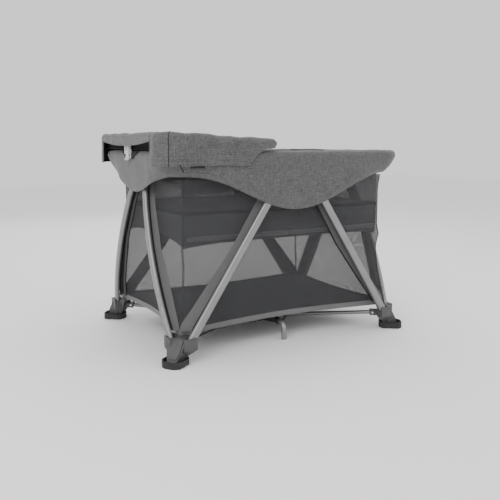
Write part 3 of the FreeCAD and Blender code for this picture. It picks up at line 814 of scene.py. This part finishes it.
def flap_outline():
    """Stations round the changer's near side, left end and far side: place and outward way."""
    x_end, x_left, y = LOOP_RIGHT + 10 * MM, flap_lo.x, flap_hi.y - 2 * MM
    straight = 48
    near = [(Vector((mix(x_end, x_left + FLAP_CORNER, k / straight), -y, 0)), Vector((0, -1, 0)))
            for k in range(straight + 1)]
    for k in range(1, 17):
        turn = math.pi / 2 * k / 16
        out = Vector((-math.sin(turn), -math.cos(turn), 0))
        near.append((Vector((x_left + FLAP_CORNER, -y + FLAP_CORNER, 0)) + out * FLAP_CORNER, out))
    near += [(Vector((x_left, -TAB_END - step, 0)), Vector((-1, 0, 0))) for step in (4 * MM, 0.5 * MM)]
    width = 60
    lip = [(Vector((x_left, mix(-TAB_END + 2 * MM, TAB_END - 2 * MM, k / width), 0)), Vector((-1, 0, 0)))
           for k in range(width + 1)]
    mirror = [(Vector((a.x, -a.y, 0)), Vector((o.x, -o.y, 0))) for a, o in reversed(near)]
    return near + lip + mirror


def flap_hem(point):
    """Lower edge of the changer's cover: deep on the sides and round the corners, a lip on the end."""
    if point.x < flap_lo.x + 1 * MM and abs(point.y) < TAB_END:
        return mix(709 * MM, 724 * MM, (point.y / TAB_END) ** 2)
    return between((point.x - CX) / MM, FLAP_HEM) * MM


def make_changer_cover():
    """Cover over the changer's tube, lined inside, with a welt at the left corner of its near and far sides.
    """
    columns = []
    stations = flap_outline()
    for point, out in stations:
        top = tube_height(max(point.x, LOOP_LEFT)) + TUBE_R + 7.5 * MM
        low = flap_hem(point)
        flare = 3.0 * MM * math.sin(point.x * 21 + 1) + 2.5 * MM * math.sin(point.y * 17)
        wave = crumple(point, 80 * MM, 3 * MM)
        section = [(2, low), (0.4, low + 3 * MM), (0.6, low + 0.3 * (top - low)), (1.5, mix(low, top, 0.5)),
                   (1.5, mix(low, top, 0.72)), (2.5, top - 13 * MM), (6.5, top - 5 * MM), (12, top - 1 * MM),
                   (19, top), (27, top - 4 * MM), (32, top - 11 * MM), (34, top - 24 * MM)]
        past = (point.x - LOOP_RIGHT + 8 * MM) / (18 * MM)
        end_round = math.sqrt(1 - min(1, past) ** 2 * 0.9) if past > 0 else 1
        column = []
        for n, (inset, height) in enumerate(section):
            loose = max(0.0, 1 - n / 4) * flare
            height = mix(LOOP_Z_RIGHT, height, end_round)
            place = point - out * (mix(16, inset, end_round) * MM) + Vector((0, 0, height))
            place += out * (crumple(place, 60 * MM, 1.6 * MM) + loose * 0.5)
            column.append(place + Vector((0, 0, wave * ease((n - 2) / 4))))
        columns.append(column)
    rows = [list(row) for row in zip(*columns)]
    cover = surface("changer_flaps", rows, CHANGER)
    cover.data.materials.append(WEBBING)
    stitches = hem_stitches("changer_stitching", rows, SKIN / 2 + 0.2 * MM)
    seams = []
    for letter, spot in (("n", 55), ("f", len(columns) - 57)):
        welt = []
        for height in range(0, 10):
            here, after = columns[spot][height], columns[spot + 1][height]
            along = (after - here).normalized()
            lift = stations[spot][1] * 1.5 * MM + Vector((0, 0, 1.2 * MM if height > 6 else 0))
            welt.append([here + along * k * 1.1 * MM + lift for k in (-1, 0, 1)])
        seams.append(thicken(surface(f"changer_seam_{letter}", welt, PIPING), 0.8 * MM))
    face_outwards(cover)
    thick = cover.modifiers.new("lined", "SOLIDIFY")
    thick.thickness, thick.offset, thick.material_offset = SKIN, 0, 1
    apply_modifiers(cover)
    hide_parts("changer_cover")
    for piece in (cover, stitches, *seams):
        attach(piece, "changer")
    make_end_hollow_shade()


def make_end_hollow_shade():
    """Black sheet behind the end lip, from the changer's tube down to just above the rim: painted shade for
    the dark hollow under the lip.
    """
    rows = []
    for k in range(6):
        z = mix(RIM_TOP + 4 * MM, LOOP_Z_LEFT - 9 * MM, k / 5)
        rows.append([Vector((LOOP_LEFT + 12 * MM, mix(-300, 300, n / 30) * MM, z)) for n in range(31)])
    # Black sheet: painted shade for the hollow under the end lip.
    lining = surface("changer_end_hollow_shade", rows, WEBBING)
    cloth(lining, thickness=1.2 * MM)
    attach(lining, "changer")


def make_cover_patches():
    """Black webbing on the rim cover: the clamp's notch on the left end, and tabs by the changer's hooks."""
    rows = []
    for k in range(6):
        z = mix(663, 690, k / 5)
        half = mix(40, 84, ease((z - 663) / 27))
        inset = -2.2 if z < 685 else 1.0
        rows.append([Vector((CX - RIM_X + inset * MM, half * MM * (-1 + n / 6), z * MM)) for n in range(13)])
    notch = surface("clamp_notch", rows, WEBBING)
    cloth(notch, thickness=1.0 * MM)
    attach(notch, "top_left")
    for sign, letter in ((-1, "n"), (1, "f")):
        slit = [[Vector((CX + x * MM, sign * (RIM_Y + 2.2 * MM), z * MM)) for x in (-407, -390, -374, -358)]
                for z in (639, 645, 652)]
        tick = [[Vector((CX + x * MM, sign * (RIM_Y + 2.2 * MM), z * MM)) for x in (mid - 2, mid, mid + 2)]
                for mid, z in ((-431, 626), (-436, 637), (-442, 650))]
        tab = surface(f"hook_tab_{letter}", slit, WEBBING)
        loop = thicken(surface(f"hook_loop_{letter}", tick, WEBBING), 1.0 * MM)
        cloth(tab, thickness=1.0 * MM)
        for piece in (tab, loop):
            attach(piece, f"rail_{'near' if sign < 0 else 'far'}_l")


def make_roll():
    """Fabric sleeve rolled round the inner end of the changer's frame, gathered at its ends."""
    rows = []
    count, around = 60, 28
    for k in range(count + 1):
        y = mix(-LOOP_Y - 6 * MM, LOOP_Y + 6 * MM, k / count)
        end = min(k, count - k) / count
        radius = 16.5 * MM * (0.55 + 0.45 * ease(end / 0.03))
        row = []
        for n in range(around):
            turn = 2 * math.pi * n / around
            out = Vector((math.cos(turn), 0, math.sin(turn)))
            swell = radius + crumple((y, math.cos(turn) * 0.05, math.sin(turn) * 0.05), 40 * MM, 1.2 * MM)
            row.append(Vector((LOOP_RIGHT, y, LOOP_Z_RIGHT)) + out * swell)
        rows.append(row)
    roll = face_outwards(surface("changer_roll", rows, CHANGER, closed=True))
    cloth(roll, thickness=1.6 * MM)
    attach(roll, "changer")


PUFF_VOXEL, PUFF_PRESSURE, PUFF_FRAMES = 6 * MM, 4.0, 20
PUFF_CAP = 7 * MM                        # how far the puffing may move a point


def puff_up(obj):
    """Puff a closed mesh up as cloth under pressure, with no gravity and no contact."""
    remesh = obj.modifiers.new("remesh", "REMESH")
    remesh.mode, remesh.voxel_size = "VOXEL", PUFF_VOXEL
    apply_modifiers(obj)
    rest = np.array([v.co for v in obj.data.vertices])
    made = obj.modifiers.new("cloth", "CLOTH")
    made.settings.use_pressure = True
    made.settings.uniform_pressure_force = PUFF_PRESSURE
    made.settings.effector_weights.gravity = 0
    made.settings.quality = 6
    scene = bpy.context.scene
    for step in range(1, PUFF_FRAMES + 1):
        scene.frame_set(step)
    graph = bpy.context.evaluated_depsgraph_get()
    puffed = np.array([v.co for v in obj.evaluated_get(graph).data.vertices])
    obj.modifiers.clear()
    scene.frame_set(1)
    move = puffed - rest
    size = np.linalg.norm(move, axis=1, keepdims=True)
    move *= np.minimum(1, PUFF_CAP / np.maximum(size, 1e-9))
    obj.data.vertices.foreach_set("co", (rest + move).ravel())
    obj.data.update()
    return obj


def make_changer_pad():
    """Changing pad: puffed, with a bolster along each long side and two cross seams."""
    x0, x1 = pad_lo.x + 8 * MM, pad_hi.x - 6 * MM
    y = pad_hi.y - 8 * MM
    low = pad_lo.z + 5 * MM
    round_r = 50 * MM
    outline = []
    for cx, cy, first in ((x1 - round_r, y - round_r, 0), (x0 + round_r, y - round_r, 90),
                          (x0 + round_r, round_r - y, 180), (x1 - round_r, round_r - y, 270)):
        for k in range(9):
            turn = math.radians(first + 90 * k / 8)
            outline.append(Vector((cx, cy, 0)) + round_r * Vector((math.cos(turn), math.sin(turn), 0)))
    middle = Vector(((x0 + x1) / 2, 0, 0))
    rows = []
    for height, inset in ((0, 10), (0.25, 0), (0.7, 0), (0.93, 5), (1, 14)):
        row = []
        for spot in outline:
            top = mix(pad_hi.z - 8 * MM, pad_hi.z - 27 * MM, (spot.x - x0) / (x1 - x0))
            place = spot + (middle - spot).normalized() * inset * MM
            row.append(Vector((place.x, place.y, mix(low, top, height))))
        rows.append(row)
    pad = surface("changer_pad_cushion", rows, CHANGER, closed=True)
    caps = bmesh.new()
    caps.from_mesh(pad.data)
    caps.verts.ensure_lookup_table()
    count = len(outline)
    caps.faces.new([caps.verts[k] for k in reversed(range(count))])
    caps.faces.new([caps.verts[len(rows) * count - count + k] for k in range(count)])
    bmesh.ops.recalc_face_normals(caps, faces=caps.faces)
    caps.to_mesh(pad.data)
    caps.free()
    puff_up(pad)
    deck_y, seam_depth, seam_half = 212 * MM, 5.5 * MM, 7 * MM
    seams_y = (-215 * MM, 215 * MM)
    seams_x = (mix(x0, x1, 0.34), mix(x0, x1, 0.67))
    for vertex in pad.data.vertices:
        co = vertex.co
        if co.z < pad_lo.z + 22 * MM:
            continue
        groove = min([abs(co.y - s) for s in seams_y]
                     + [abs(co.x - s) if abs(co.y) < deck_y else 1.0 for s in seams_x])
        co.z -= seam_depth * math.exp(-(groove / seam_half) ** 2)
        if abs(co.y) < deck_y:
            co.z -= 5 * MM * ease((deck_y - abs(co.y)) / (60 * MM))
    smooth(pad)
    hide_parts("changer_pad")
    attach(pad, "changer")


def make_changer_base():
    """Sheet stretched under the pad, inside the frame's rounded corners: the changer's underside, coloured
    black as painted shade for the dark gap between pad and rim.
    """
    rows = []
    for r in range(33):
        y = mix(-LOOP_Y, LOOP_Y, r / 32)
        over = max(0.0, abs(y) - (LOOP_Y - CHANGER_BEND))
        cut = CHANGER_BEND - math.sqrt(max(0.0, CHANGER_BEND ** 2 - over ** 2))
        rows.append([Vector((mix(LOOP_LEFT + cut, LOOP_RIGHT - 20 * MM - cut, k / 12), y, pad_lo.z - 1 * MM))
                     for k in range(13)])
    # The black of this underside is painted shade for the gap under the pad.
    base = surface("changer_base", rows, WEBBING)
    cloth(base, thickness=1.2 * MM)
    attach(base, "changer")


# ---------------------------------------------------------------- camera, light, floor

def make_studio():
    """Camera, ground, world and lights."""
    scene = bpy.context.scene
    pitch, azimuth, focal_px, width_px = 7.0, -29.04, 623.6, 500.0
    camera = bpy.data.objects.new("camera", bpy.data.cameras.new("camera"))
    scene.collection.objects.link(camera)
    camera.location = (-1.1956 + CX, -2.1534, 0.7141)
    camera.rotation_euler = (math.radians(90 - pitch), 0, math.radians(azimuth))
    camera.data.lens = 36 * focal_px / width_px
    camera.data.shift_x, camera.data.shift_y = 0.0016, -0.0584
    camera.data.clip_end = 50
    scene.camera = camera
    ground = add_piece("ground", [(-9, -9, 0), (9, -9, 0), (9, 9, 0), (-9, 9, 0)], [(0, 1, 2, 3)],
                       material("ground", (0.93, 0.93, 0.93), 0.9)[0], smooth=False)
    world = bpy.data.worlds.new("studio")
    world.use_nodes = True
    world.node_tree.nodes["Background"].inputs["Color"].default_value = (1, 1, 1, 1)
    world.node_tree.nodes["Background"].inputs["Strength"].default_value = 1.1
    scene.world = world
    for name, place, size, power in (("key", (-2.6, -2.2, 2.6), 2.2, 62), ("fill", (2.8, -2.4, 1.8), 2.5, 16),
                                     ("top", (0.3, 0.4, 3.2), 2.4, 34), ("back", (0.6, 3.2, 2.2), 2.5, 26)):
        light = bpy.data.objects.new(name, bpy.data.lights.new(name, "AREA"))
        light.data.size, light.data.energy = size, power
        light.location = place
        light.rotation_euler = (Vector((0, 0, 0.4)) - Vector(place)).to_track_quat("-Z", "Y").to_euler()
        scene.collection.objects.link(light)


make_studio()
finish_frame()
make_rim()
make_walls()
make_bindings()
make_floor()
make_strut_straps()
make_bassinet()
make_changer_cover()
make_cover_patches()
make_roll()
make_changer_pad()
make_changer_base()
